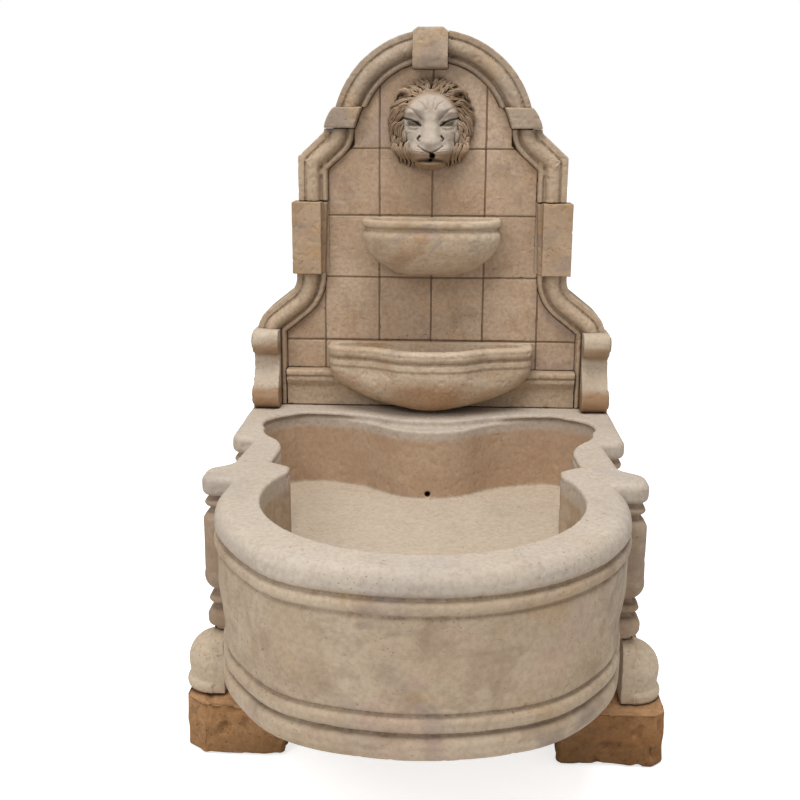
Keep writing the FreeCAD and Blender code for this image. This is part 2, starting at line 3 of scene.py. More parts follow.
import bmesh
import bpy
import numpy as np
from mathutils import Matrix, Vector, noise
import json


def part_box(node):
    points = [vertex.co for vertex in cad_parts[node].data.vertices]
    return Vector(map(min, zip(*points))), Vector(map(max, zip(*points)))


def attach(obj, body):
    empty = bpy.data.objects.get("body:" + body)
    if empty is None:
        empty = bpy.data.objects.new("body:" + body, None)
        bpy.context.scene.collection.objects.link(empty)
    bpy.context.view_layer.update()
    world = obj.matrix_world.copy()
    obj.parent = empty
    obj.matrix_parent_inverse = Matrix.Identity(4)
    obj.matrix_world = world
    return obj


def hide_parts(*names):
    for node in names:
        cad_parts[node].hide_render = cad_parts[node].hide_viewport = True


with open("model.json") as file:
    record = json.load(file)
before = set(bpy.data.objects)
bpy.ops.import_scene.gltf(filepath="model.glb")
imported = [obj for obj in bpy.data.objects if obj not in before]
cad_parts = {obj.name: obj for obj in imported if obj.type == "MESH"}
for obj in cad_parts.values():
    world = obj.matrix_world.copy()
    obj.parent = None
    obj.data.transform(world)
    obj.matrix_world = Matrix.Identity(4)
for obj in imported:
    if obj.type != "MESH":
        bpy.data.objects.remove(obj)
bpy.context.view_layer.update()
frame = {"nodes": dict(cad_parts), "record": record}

# Metres. The panel's face lies at y = PANEL_Y, in front of its slab at SLAB_Y, and the
# basin's rim at z = RIM. The basin rests on its bearers at z = FOOT_TOP, and the lobe is
# its round front. The piers stand outside PIER_X.
PANEL_Y = 0.640
SLAB_Y = PANEL_Y + 0.028
RIM = 0.740
FOOT_TOP = 0.320
BASIN_FLOOR = RIM - 0.229
LOBE_Y = PANEL_Y - 0.897
LOBE_IN_R = 0.384
LOBE_R = 0.488
PIER_X = 0.500
INLET_Z = RIM - 0.214
INLET_R = 0.008
MASK_X = -0.006
MASK_Z = RIM + 0.8615


# Outlines

def arc(p0, pm, p1, n):
    """Points of the arc from p0 through pm to p1, without p0."""
    a, b, c = (np.array(p, float) for p in (p0, pm, p1))
    d = 2 * (a[0] * (b[1] - c[1]) + b[0] * (c[1] - a[1]) + c[0] * (a[1] - b[1]))
    if abs(d) < 1e-12:
        return [tuple(a + (c - a) * (i + 1) / n) for i in range(n)]
    ux = ((a @ a) * (b[1] - c[1]) + (b @ b) * (c[1] - a[1]) + (c @ c) * (a[1] - b[1])) / d
    uy = ((a @ a) * (c[0] - b[0]) + (b @ b) * (a[0] - c[0]) + (c @ c) * (b[0] - a[0])) / d
    o = np.array([ux, uy])
    r = np.linalg.norm(a - o)
    t0 = math.atan2(*(a - o)[::-1])
    tm = math.atan2(*(b - o)[::-1])
    t1 = math.atan2(*(c - o)[::-1])
    turn = (t1 - t0) % (2 * math.pi)
    if (tm - t0) % (2 * math.pi) > turn:
        turn -= 2 * math.pi
    turns = [t0 + turn * (i + 1) / n for i in range(n)]
    return [(o[0] + r * math.cos(t), o[1] + r * math.sin(t)) for t in turns]


def route(start, steps, step=0.006):
    """Points about step apart along lines (x, y) and arcs (x, y on the way, x, y at the end)."""
    pts = [tuple(start)]
    for s in steps:
        here = pts[-1]
        if len(s) == 4:
            chord = math.dist(here, s[:2]) + math.dist(s[:2], s[2:])
            pts += arc(here, s[:2], s[2:], max(3, int(chord / step)))
        else:
            n = max(1, int(math.dist(here, s) / step))
            pts += [tuple(h + (e - h) * (i + 1) / n for h, e in zip(here, s)) for i in range(n)]
    return pts


def soft(points, step=0.006):
    """Points along a polyline whose inner corners (a, b, radius) are rounded."""
    steps = []
    for before, point, after in zip(points, points[1:], points[2:]):
        c = np.array(point[:2], float)
        if len(point) < 3 or point[2] <= 0:
            steps.append(tuple(c))
            continue
        back = np.array(before[:2], float) - c
        on = np.array(after[:2], float) - c
        back /= np.linalg.norm(back)
        on /= np.linalg.norm(on)
        half = math.acos(max(-1.0, min(1.0, float(back @ on)))) / 2
        run = point[2] / math.tan(half)
        mid = back + on
        mid = c + mid / np.linalg.norm(mid) * (point[2] / math.sin(half) - point[2])
        steps.append(tuple(c + back * run))
        end = c + on * run
        steps.append((mid[0], mid[1], end[0], end[1]))
    steps.append(tuple(points[-1][:2]))
    return route(points[0][:2], steps, step)


def circle(x, y, r, n):
    turns = [2 * math.pi * i / n for i in range(n)]
    return [(x + r * math.cos(t), y + r * math.sin(t)) for t in turns]


def mirrored(right):
    """Closed outline from a right half that starts at the back and ends on x = 0."""
    left = [(-x, y) for x, y in reversed(right) if abs(x) > 1e-6]
    return right + left


def inset(loop, d):
    """A closed outline moved inward by d, with true corners."""
    p = np.array(loop, float)
    e = np.roll(p, -1, 0) - p
    n = np.stack([e[:, 1], -e[:, 0]], 1)
    n /= np.maximum(np.linalg.norm(n, axis=1, keepdims=True), 1e-12)
    area = np.sum(p[:, 0] * np.roll(p[:, 1], -1) - np.roll(p[:, 0], -1) * p[:, 1])
    if area > 0:
        n = -n
    m = n + np.roll(n, 1, 0)
    m /= np.maximum((m * m).sum(1, keepdims=True) / 2, 0.35)
    return p + m * d


# Meshes

def make_mesh(name, verts, faces):
    mesh = bpy.data.meshes.new(name)
    mesh.from_pydata([tuple(v) for v in verts], [], faces)
    mesh.validate()
    bm = bmesh.new()
    bm.from_mesh(mesh)
    bmesh.ops.remove_doubles(bm, verts=bm.verts, dist=1e-6)
    bmesh.ops.recalc_face_normals(bm, faces=bm.faces)
    bm.to_mesh(mesh)
    bm.free()
    obj = bpy.data.objects.new(name, mesh)
    bpy.context.scene.collection.objects.link(obj)
    return obj


def stack(name, rings):
    """A closed skin over rings of equal length, capped at both ends."""
    n = len(rings[0])
    verts = [v for ring in rings for v in ring]
    faces = []
    for k in range(len(rings) - 1):
        for i in range(n):
            j = (i + 1) % n
            faces.append((k * n + i, k * n + j, (k + 1) * n + j, (k + 1) * n + i))
    faces.append(tuple(range(n)))
    faces.append(tuple((len(rings) - 1) * n + i for i in range(n)))
    return make_mesh(name, verts, faces)


def block(name, low, high):
    """A box between two corners."""
    (x0, y0, z0), (x1, y1, z1) = low, high
    plan = ((x0, y0), (x1, y0), (x1, y1), (x0, y1))
    return stack(name, [[(x, y, z) for x, y in plan] for z in (z0, z1)])


def turned(name, profile, x, y, n):
    """A closed body turned about an upright axis, with a profile of (radius, z)."""
    return stack(name, [[(*p, z) for p in circle(x, y, max(r, 1e-4), n)] for r, z in profile])


def modified(obj, kind, **settings):
    mod = obj.modifiers.new(kind.title(), kind)
    for key, value in settings.items():
        setattr(mod, key, value)


def bake(obj):
    """Apply the object's modifiers to a mesh of its own."""
    depsgraph = bpy.context.evaluated_depsgraph_get()
    mesh = bpy.data.meshes.new_from_object(obj.evaluated_get(depsgraph))
    obj.modifiers.clear()
    obj.data = mesh


def combine(base, other, operation):
    modified(base, "BOOLEAN", operation=operation, object=other, solver="MANIFOLD")
    bake(base)
    bpy.data.objects.remove(other)


def shade_smooth(obj):
    obj.data.polygons.foreach_set("use_smooth", [True] * len(obj.data.polygons))


def copy_of(node):
    """A new object with the shape of this CAD node."""
    bm = bmesh.new()
    bm.from_mesh(frame["nodes"][node].data)
    bmesh.ops.remove_doubles(bm, verts=bm.verts, dist=1e-6)
    mesh = bpy.data.meshes.new(node + "_stone")
    bm.to_mesh(mesh)
    bm.free()
    obj = bpy.data.objects.new(node + "_stone", mesh)
    bpy.context.scene.collection.objects.link(obj)
    return obj


def place(obj, material, slot, *nodes):
    """Dress a piece, fix it to the root body and let it stand in for its CAD nodes."""
    obj.data.materials.clear()
    obj.data.materials.append(material)
    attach(obj, "root")
    if nodes:
        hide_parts(*nodes)


def carve(obj, node, material, voxel, smooth, seed, wave, wave_size, chip, chip_size, keep=1.0):
    """Give a body the worn edges and uneven faces of hand-cut stone, in place of its CAD node.

    wave and chip are depths: of the slow unevenness, and of small broken spots. The node's
    box holds the result, and keep is the share of the faces that stays.
    """
    modified(obj, "REMESH", mode="VOXEL", voxel_size=voxel)
    modified(obj, "SMOOTH", factor=0.5, iterations=smooth)
    bake(obj)
    mesh = obj.data
    count = len(mesh.vertices)
    points = np.empty((count, 3), np.float32)
    normals = np.empty((count, 3), np.float32)
    mesh.vertices.foreach_get("co", points.ravel())
    mesh.vertex_normals.foreach_get("vector", normals.ravel())
    depth = np.empty(count, np.float32)
    shift = Vector((seed * 3.1, seed * 1.7, seed * 2.3))
    for i in range(count):
        p = Vector(points[i])
        d = wave * (0.5 + 0.5 * noise.fractal(p / wave_size + shift, 1.0, 2.0, 3))
        d += chip * max(0.0, noise.noise(p / chip_size + shift * 2) - 0.18) * 2.2
        depth[i] = max(0.0, d)
    low, high = (np.array(corner, np.float32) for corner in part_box(node))
    points = np.clip(points - normals * depth[:, None], low, high)
    mesh.vertices.foreach_set("co", points.ravel())
    mesh.update()
    if keep < 1.0:
        modified(obj, "DECIMATE", ratio=keep)
        bake(obj)
    shade_smooth(obj)
    place(obj, material, slots[node], node)


# Materials

def srgb(r, g, b):
    return tuple((c / 12.92 if c <= 0.04045 else ((c + 0.055) / 1.055) ** 2.4)
                 for c in (r / 255, g / 255, b / 255)) + (1.0,)


class Nodes:
    """A material's node tree with short calls for the few nodes that the stones use."""

    def __init__(self, name):
        self.mat = bpy.data.materials.new(name)
        self.mat.use_nodes = True
        self.tree = self.mat.node_tree
        self.tree.nodes.clear()
        self.out = self.new("OutputMaterial")
        self.shader = self.new("BsdfPrincipled")
        self.feed(self.out.inputs[0], self.shader.outputs[0])
        self.where = self.new("TexCoord").outputs["Object"]
        self.axis = dict(zip("xyz", self.new("SeparateXYZ", Vector=self.where).outputs))

    def new(self, kind, **values):
        """A new node with values for its inputs, whose names have _ for a space."""
        node = self.tree.nodes.new("ShaderNode" + kind)
        for name, value in values.items():
            self.feed(node.inputs[name.replace("_", " ")], value)
        return node

    def feed(self, socket, value):
        """Set an input to a value, or link it to the output of another node."""
        if isinstance(value, (int, float, tuple)):
            socket.default_value = value
        else:
            self.tree.links.new(value, socket)

    def mapping(self, scale, offset):
        return self.new("Mapping", Scale=scale, Location=offset, Vector=self.where).outputs[0]

    def noise(self, scale, detail, rough, vector, distortion=0.0):
        return self.new("TexNoise", Scale=scale, Detail=detail, Roughness=rough, Vector=vector,
                        Distortion=distortion).outputs["Fac"]

    def dots(self, scale, vector):
        return self.new("TexVoronoi", Scale=scale, Vector=vector).outputs["Distance"]

    def ramp(self, fac, low, high, a=0.0, b=1.0):
        node = self.new("MapRange", Value=fac, From_Min=low, From_Max=high, To_Min=a, To_Max=b)
        node.interpolation_type = "SMOOTHSTEP"
        return node.outputs["Result"]

    def above(self, axis, low, high):
        """0 up to low and 1 from high on, along an axis."""
        return self.ramp(self.axis[axis], low, high)

    def below(self, axis, low, high):
        return self.ramp(self.axis[axis], low, high, 1.0, 0.0)

    def math(self, kind, a, b=0.0):
        node = self.new("Math")
        node.operation = kind
        for socket, value in zip(node.inputs, (a, b)):
            self.feed(socket, value)
        return node.outputs[0]

    def product(self, *factors):
        total = factors[0]
        for factor in factors[1:]:
            total = self.math("MULTIPLY", total, factor)
        return total

    def mix(self, fac, a, b):
        """The colour a, or b where fac is 1."""
        node = self.new("Mix")
        node.data_type = "RGBA"
        for index, value in ((0, fac), (6, a), (7, b)):
            self.feed(node.inputs[index], value)
        return node.outputs[2]

    def hollows(self, distance):
        node = self.new("AmbientOcclusion", Distance=distance)
        node.samples = 8
        return node.outputs["AO"]

    def edges(self):
        return self.new("NewGeometry").outputs["Pointiness"]

    def facing_up(self):
        normal = self.new("NewGeometry").outputs["Normal"]
        return self.ramp(self.new("SeparateXYZ", Vector=normal).outputs["Z"], 0.5, 0.8)


def darker(colour, share):
    return tuple(c * share for c in colour[:3]) + (1.0,)


def stone(name, mid, light, dark, patches=(), zones=(), seed=0.0, pits=0.6, grain=0.12,
          bump=0.30, grime_and_shade=0.55, hollow=0.022, edge=0.30, tone=0.0):
    """Weathered limestone: soft mottling, stained patches, bedding, pits, dirt and painted shade in
    the hollows.

    patches are (colour, share, scale); zones are (function of the node tree that gives a
    0 to 1 mask, colour, share). grime_and_shade, edge and tone are shares: of dirt and painted
    shade in hollows of the given size, of painted highlight and pale wear on the edges, and of
    difference between one object and the next.
    """
    m = Nodes(name)
    off = (seed * 1.37, seed * 2.11, seed * 0.73)
    at = m.mapping((1.0, 1.0, 1.0), off)
    large = m.noise(2.6, 3.0, 0.5, at, 0.3)
    medium = m.noise(12.0, 6.0, 0.65, at, 0.2)
    fine = m.noise(85.0, 5.0, 0.7, at)
    sand = m.noise(520.0, 2.0, 0.6, at)
    mid, light, dark = srgb(*mid), srgb(*light), srgb(*dark)
    colour = m.mix(m.ramp(large, 0.38, 0.62), mid, light)
    colour = m.mix(m.ramp(medium, 0.45, 0.75, 0.0, 0.45), colour, dark)
    for k, (tint, share, scale) in enumerate(patches):
        shift = (off[0] + 7 * k + 3, off[1] - 5 * k, off[2])
        spot = m.noise(scale, 5.0, 0.62, m.mapping((1.0, 1.0, 1.4), shift), 0.5)
        colour = m.mix(m.ramp(spot, 0.53, 0.66, 0.0, share), colour, srgb(*tint))
    for mask, tint, share in zones:
        amount = m.ramp(medium, 0.25, 0.60, 0.72 * share, share)
        colour = m.mix(m.product(mask(m), amount), colour, srgb(*tint))
    bed = m.noise(6.0, 5.0, 0.65, m.mapping((0.4, 0.4, 6.0), off), 0.2)
    colour = m.mix(m.ramp(bed, 0.50, 0.70, 0.0, 0.10), colour, dark)
    crowd = m.noise(5.0, 3.0, 0.6, m.mapping((1.0, 1.0, 1.8), (off[1], off[2], off[0])))
    cluster = m.ramp(crowd, 0.46, 0.62)
    hole = m.ramp(m.dots(75.0, m.mapping((1.0, 1.0, 1.5), off)), 0.10, 0.20, 1.0, 0.0)
    nick = m.ramp(m.noise(46.0, 4.0, 0.7, m.mapping((0.8, 0.8, 1.9), off), 0.4), 0.66, 0.73)
    pit = m.math("MAXIMUM", m.product(hole, cluster), nick)
    colour = m.mix(m.product(pit, pits), colour, darker(dark, 0.45))
    colour = m.mix(m.ramp(fine, 0.35, 0.72, 0.0, grain * 1.6), colour, dark)
    colour = m.mix(m.ramp(sand, 0.35, 0.75, 0.0, grain * 0.45), colour, dark)
    if tone:
        own = m.new("ObjectInfo").outputs["Random"]
        colour = m.mix(m.ramp(own, 0.0, 1.0, 0.0, tone), colour, dark)
    # dirt and painted shade: darker in the hollows and in concave creases
    dirt_and_shade = m.math("MAXIMUM", m.ramp(m.hollows(hollow), 0.30, 0.92, grime_and_shade, 0.0),
                  m.ramp(m.edges(), 0.40, 0.485, grime_and_shade * 0.9, 0.0))
    colour = m.mix(dirt_and_shade, colour, darker(dark, 0.40))
    # painted highlight, with some pale wear, on the convex edges
    colour = m.mix(m.ramp(m.edges(), 0.515, 0.58, 0.0, edge), colour, light)
    m.feed(m.shader.inputs["Base Color"], colour)
    m.feed(m.shader.inputs["Specular IOR Level"], 0.22)
    m.feed(m.shader.inputs["Roughness"], m.ramp(medium, 0.3, 0.8, 0.80, 0.94))
    height = m.math("ADD", m.product(fine, 0.6), m.product(sand, 0.10))
    height = m.math("SUBTRACT", height, m.product(pit, 0.9))
    relief = m.new("Bump", Strength=bump, Distance=0.0025, Height=height)
    m.feed(m.shader.inputs["Normal"], relief.outputs[0])
    return m.mat


def metal(name, colour, dull, rough, metallic=1.0):
    """Pipes, pins and clips, a little uneven in colour and gloss."""
    m = Nodes(name)
    fac = m.noise(40.0, 4.0, 0.6, m.where)
    tint = m.mix(m.ramp(fac, 0.4, 0.7), srgb(*colour), srgb(*dull))
    m.feed(m.shader.inputs["Base Color"], tint)
    m.feed(m.shader.inputs["Metallic"], metallic)
    m.feed(m.shader.inputs["Roughness"], m.ramp(fac, 0.3, 0.7, rough - 0.08, rough + 0.12))
    return m.mat


def rear_pocket(m):
    """The wall behind the water, below its coping."""
    return m.product(m.above("y", PANEL_Y - 0.60, PANEL_Y - 0.42),
                     m.below("z", RIM - 0.034, RIM - 0.020),
                     m.above("z", BASIN_FLOOR, BASIN_FLOOR + 0.014))


# Paler, greyer stone near the rim, which also serves as painted highlight on the rim's roll.
def pale_rim_and_highlight(m):
    return m.above("z", RIM - 0.060, RIM - 0.040)


def basin_floor(m):
    return m.product(m.below("z", BASIN_FLOOR + 0.003, BASIN_FLOOR + 0.011),
                     m.above("z", BASIN_FLOOR - 0.011, BASIN_FLOOR - 0.003), m.facing_up())


def outside_lobe(m):
    return m.ramp(m.math("ABSOLUTE", m.axis["x"]), PIER_X - 0.003, PIER_X + 0.003)


def pier_shade(m):
    """Painted shade on the sides of the basin outside the lobe, which face away from the light."""
    return m.product(outside_lobe(m), m.below("z", RIM - 0.075, RIM - 0.060),
                     m.above("z", FOOT_TOP - 0.004, FOOT_TOP))


def low_foot(m):
    return m.product(m.below("z", FOOT_TOP - 0.004, FOOT_TOP), outside_lobe(m))


# Painted light: the lower frame pieces are made lighter, since the top lamp lights them less than
# the arch.
def low_frame_light(m):
    return m.below("z", RIM + 0.80, RIM + 0.86)


def console_tan_and_shade(m):
    """Tan stone with painted shade at the foot of the bracket, and painted shade under its upper
    roll.
    """
    under = m.product(m.above("z", RIM + 0.150, RIM + 0.172),
                      m.ramp(m.axis["z"], RIM + 0.196, RIM + 0.212, 0.8, 0.0))
    return m.math("MAXIMUM", m.below("z", RIM + 0.050, RIM + 0.080), under)


def tan_spot(m):
    """The iron stain low on the lower bowl."""
    across = m.ramp(m.math("ABSOLUTE", m.axis["x"]), 0.04, 0.17, 1.0, 0.0)
    return m.product(across, m.below("z", RIM + 0.080, RIM + 0.130))


def block_low(m):
    return m.below("z", 0.02, 0.12)


def mask_face(m):
    """The bare face of the lion, inside its mane."""
    middle = (MASK_X, PANEL_Y - 0.07, MASK_Z - 0.012)
    node = m.new("Mapping", Vector=m.where, Location=middle, Scale=(0.100, 0.30, 0.118))
    node.vector_type = "TEXTURE"
    ball = m.new("TexGradient", Vector=node.outputs[0])
    ball.gradient_type = "SPHERICAL"
    return m.ramp(ball.outputs["Fac"], 0.10, 0.24)


def low_face(m):
    return m.below("z", MASK_Z - 0.090, MASK_Z - 0.070)


def mask_eyes(m):
    across = m.math("ABSOLUTE", m.math("SUBTRACT", m.axis["x"], MASK_X))
    aside = m.math("ABSOLUTE", m.math("SUBTRACT", across, 0.051))
    level = m.math("ABSOLUTE", m.math("SUBTRACT", m.axis["z"], MASK_Z + 0.001))
    return m.product(m.ramp(aside, 0.012, 0.025, 1.0, 0.0), m.ramp(level, 0.005, 0.010, 1.0, 0.0))


GREY = (146, 132, 124)
OCHRE = (184, 148, 102)
PINK = (182, 154, 138)
limestone = stone("limestone", (184, 164, 140), (198, 180, 158), (134, 110, 86),
                  ((GREY, 0.70, 3.6), (OCHRE, 0.35, 4.4), (PINK, 0.45, 5.2),
                   ((150, 130, 108), 0.45, 9.0)),
                  ((rear_pocket, (184, 154, 126), 0.80), (pale_rim_and_highlight, (192, 182, 170), 0.75),
                   (basin_floor, (196, 182, 163), 0.92), (pier_shade, (146, 124, 104), 0.62),
                   (low_foot, (206, 188, 164), 0.85)),
                  seed=1.0, grime_and_shade=0.80, hollow=0.014, grain=0.20)
frame_stone = stone("frame_stone", (158, 140, 119), (174, 156, 136), (122, 100, 80),
                    ((GREY, 0.50, 5.0), (OCHRE, 0.30, 6.0)),
                    ((low_frame_light, (192, 169, 143), 0.80),), seed=2.0, grime_and_shade=0.45, hollow=0.008,
                    edge=0.40, grain=0.26)
bowl_stone = stone("bowl_stone", (182, 159, 132), (200, 181, 158), (132, 106, 80),
                   ((GREY, 0.50, 6.0), ((172, 132, 92), 0.50, 5.0)),
                   ((tan_spot, (176, 128, 84), 0.60),), seed=8.0, grime_and_shade=0.70, hollow=0.014,
                   grain=0.20)
warm_stone = stone("warm_stone", (164, 139, 112), (178, 154, 128), (128, 102, 76),
                   ((GREY, 0.55, 9.0), ((184, 142, 96), 0.60, 8.0)), seed=3.0, grime_and_shade=0.5, edge=0.6,
                   grain=0.18)
console_stone = stone("console_stone", (184, 167, 146), (194, 179, 160), (138, 112, 86),
                      ((GREY, 0.35, 9.0),), ((console_tan_and_shade, (148, 112, 78), 0.88),), seed=9.0,
                      grime_and_shade=0.6, edge=0.4, grain=0.16)
tile_stone = stone("tile_stone", (190, 164, 138), (201, 177, 153), (138, 113, 90),
                   (((170, 153, 144), 0.60, 5.0), ((194, 160, 124), 0.45, 6.0),
                    ((160, 134, 110), 0.45, 11.0)), seed=4.0, pits=0.85,
                   grime_and_shade=0.30, hollow=0.006, tone=0.20, grain=0.28)
grout = stone("grout", (132, 108, 86), (148, 124, 100), (106, 84, 64), seed=7.0, grime_and_shade=0.2)
slab_stone = stone("slab_stone", (150, 133, 113), (166, 149, 129), (118, 100, 80),
                   ((GREY, 0.5, 4.0),), seed=5.0, bump=0.6)
# the faces that look up are painted lighter, as lit from above, and the edges carry painted
# highlight
block_stone = stone("block_stone", (156, 111, 70), (186, 142, 98), (102, 70, 42),
                    (((172, 118, 74), 0.6, 5.0), ((134, 108, 82), 0.45, 7.0)),
                    ((block_low, (116, 84, 54), 0.45), (Nodes.facing_up, (206, 162, 120), 0.8)),
                    seed=6.0, pits=0.85, bump=0.9, grain=0.25, grime_and_shade=0.5, edge=0.85)
# the mane's ridges carry painted highlight (edge) and its hollows carry painted shade
mask_stone = stone("mask_stone", (98, 74, 50), (184, 158, 132), (60, 42, 27),
                   (((160, 134, 112), 0.30, 16.0),),
                   ((mask_face, (185, 172, 158), 0.96), (low_face, (140, 114, 86), 0.88),
                    (mask_eyes, (88, 80, 68), 0.90)), seed=10.0,
                   pits=0.20, grime_and_shade=0.85, hollow=0.008, edge=0.60, grain=0.10)
copper = metal("copper", (120, 84, 60), (84, 66, 50), 0.5)
steel = metal("steel", (176, 176, 180), (130, 130, 134), 0.35)
plastic = metal("plastic", (38, 38, 40), (52, 52, 54), 0.55, 0.0)

SLOT_MATERIALS = {"limestone": limestone, "panel_tile": tile_stone, "slab_stone": slab_stone,
                  "warm_stone": warm_stone, "block_stone": block_stone, "mask_stone": mask_stone,
                  "copper": copper, "clip_plastic": plastic, "pin_steel": steel}
slots = {s["node"]: s["material_slot"] for s in frame["record"]["subparts"]}
for name, node in frame["nodes"].items():
    node.data.materials.clear()
    node.data.materials.append(SLOT_MATERIALS[slots[name]])


# The basin

def rear_outline():
    right = soft([(0.557, 0.110), (0.557, -0.412, 0.042), (0.488, -0.424, 0.027),
                  (0.504, -0.662, 0.060), (0.561, -0.706, 0.038), (0.561, -0.800, 0.037),
                  (0.0, -0.800)])
    return [(x, y + PANEL_Y) for x, y in mirrored(right)]


# depth below the rim and how far the face is drawn in; four numbers are an arc
REAR_PROFILE = route((0.0, 0.018), [
    (0.005, 0.005, 0.018, 0.0), (0.037, 0.0), (0.049, 0.005, 0.054, 0.018), (0.064, 0.019),
    (0.066, 0.009, 0.0735, 0.005), (0.081, 0.009, 0.083, 0.022), (0.096, 0.022), (0.098, 0.012),
    (0.114, 0.0), (0.255, 0.0), (0.294, 0.006, 0.311, 0.028), (0.324, 0.028),
    (0.327, 0.011, 0.334, 0.008), (0.341, 0.011, 0.344, 0.028), (0.361, 0.028),
    (0.366, 0.009, 0.386, 0.004), (0.405, 0.009, 0.411, 0.024), (0.420, 0.024)], 0.004)


def rear_wave(nose, hollow):
    """Steps of two tangent arcs from the nose at x = 0 to the hollow, level at both ends."""
    reach, share = 0.376, 0.36
    turn = (reach * share, -nose + (nose - hollow) * share)
    steps = []
    for tip in ((0.0, -nose), (reach, -hollow)):
        dx, dy = turn[0] - tip[0], turn[1] - tip[1]
        radius = (dx * dx + dy * dy) / (2 * abs(dy))
        half = math.atan2(abs(dy), abs(dx))
        steps.append((tip[0] + math.copysign(radius * math.sin(half), dx),
                      tip[1] + math.copysign(radius * (1 - math.cos(half)), dy)))
    return [steps[0] + turn, steps[1] + (reach, -hollow)]


def pocket(nose, hollow, corner):
    """Inside outline behind the cusps."""
    right = route((0, -nose), rear_wave(nose, hollow) + [
        (0.397, -hollow - 0.3 * (corner - hollow), 0.415, -corner),
        (0.455, -corner - 0.028, 0.474, -0.300),
        (0.467, -0.350, 0.438, -0.405),
        (0.405, -0.470, 0.399, -0.560),
        (0.400, -0.610, 0.404, -0.645),
        (0.378, -0.662, 0.346, -0.690),
        (0.346, -0.760), (0.0, -0.760)])
    return [(x, y + PANEL_Y) for x, y in mirrored(right)]


def hand_cut(lobe):
    """The round front as carved: fuller at its left and low at its right, slim low at the sides."""
    def ease(t):
        t = max(0.0, min(1.0, t))
        return t * t * (3 - 2 * t)

    for v in lobe.data.vertices:
        dx, dy = v.co.x, v.co.y - LOBE_Y
        r = math.hypot(dx, dy)
        turn = math.degrees(math.atan2(dx, -dy))
        low = ease((RIM - 0.18 - v.co.z) / 0.11)
        out = 0.018 * math.exp(-((turn + 34) / 15) ** 2)
        out += 0.011 * low * math.exp(-((turn - 36) / 14) ** 2)
        out -= 0.014 * low * ease((abs(turn) - 58) / 22)
        grow = 1 + ease((r - 0.40) / 0.06) * out / max(r, 0.1)
        v.co.x, v.co.y = dx * grow, LOBE_Y + dy * grow


def build_basin():
    plan = rear_outline()
    rings = [[(x, y, RIM - drop) for x, y in inset(plan, d)] for drop, d in REAR_PROFILE]
    body = stack("basin_stone", rings)
    r = LOBE_R
    profile = route((0.0, RIM), [
        (r - 0.036, RIM), (r - 0.006, RIM - 0.010, r + 0.005, RIM - 0.036),
        (r + 0.004, RIM - 0.050, r - 0.003, RIM - 0.0575), (r - 0.013, RIM - 0.061),
        (r - 0.003, RIM - 0.0645), (r + 0.006, RIM - 0.071, r + 0.007, RIM - 0.079),
        (r + 0.006, RIM - 0.088, r - 0.003, RIM - 0.0945), (r - 0.013, RIM - 0.098),
        (r - 0.002, RIM - 0.103), (r, RIM - 0.108), (r, RIM - 0.304), (r - 0.003, RIM - 0.310),
        (r - 0.013, RIM - 0.315), (r - 0.003, RIM - 0.3195),
        (r + 0.005, RIM - 0.326, r + 0.006, RIM - 0.336),
        (r + 0.005, RIM - 0.347, r - 0.003, RIM - 0.3535), (r - 0.013, RIM - 0.3575),
        (r - 0.002, RIM - 0.362), (r + 0.006, RIM - 0.371, r + 0.007, RIM - 0.388),
        (r + 0.003, RIM - 0.410, r - 0.016, FOOT_TOP), (0.0, FOOT_TOP)], 0.003)
    lobe = turned("lobe", profile, 0.0, LOBE_Y, 300)
    hand_cut(lobe)
    combine(body, lobe, "UNION")

    def cut(name, outline, z0, z1, lip):
        """Hollow out an outline from z0 to z1, with its top edge rounded by lip."""
        rings = [[(x, y, z0) for x, y in outline], [(x, y, z1 - lip) for x, y in outline]]
        for k in range(1, 5):
            a = k / 4 * math.pi / 2
            rings.append([(x, y, z1 - lip + lip * math.sin(a)) for x, y in
                          inset(outline, -lip * (1 - math.cos(a)))])
        rings.append([(x, y, z1 + 0.01) for x, y in inset(outline, -lip)])
        combine(body, stack(name, rings), "DIFFERENCE")

    cut("wall", pocket(0.256, 0.099, 0.120), BASIN_FLOOR, RIM - 0.022, 0.004)
    cut("coping", pocket(0.206, 0.108, 0.134), RIM - 0.020, RIM, 0.008)
    ring = [(x, min(y, PANEL_Y - 0.690)) for x, y in circle(0.0, LOBE_Y, LOBE_IN_R, 240)]
    cut("round", ring, BASIN_FLOOR, RIM, 0.008)
    # the chase for the pipe behind, and the bore of the inlet through the rear wall
    chase = block("chase", (-0.020, 0.700, BASIN_FLOOR - 0.005), (0.020, 0.760, RIM + 0.010))
    combine(body, chase, "DIFFERENCE")
    hole = [[(x, y, z) for x, z in circle(0.0, INLET_Z, INLET_R, 16)] for y in (0.300, 0.740)]
    combine(body, stack("hole", hole), "DIFFERENCE")
    carve(body, "basin", limestone, 0.0033, 1, 1.0, wave=0.0020, wave_size=0.12, chip=0.0012,
          chip_size=0.020, keep=0.5)


build_basin()


# The frame

# Wear of the carved stones, of the sawn tiles and of the split blocks
FRAME_WEAR = dict(wave=0.0016, wave_size=0.07, chip=0.0016, chip_size=0.014)
TILE_WEAR = dict(wave=0.0009, wave_size=0.09, chip=0.0012, chip_size=0.012)
BLOCK_WEAR = dict(wave=0.012, wave_size=0.11, chip=0.010, chip_size=0.035)

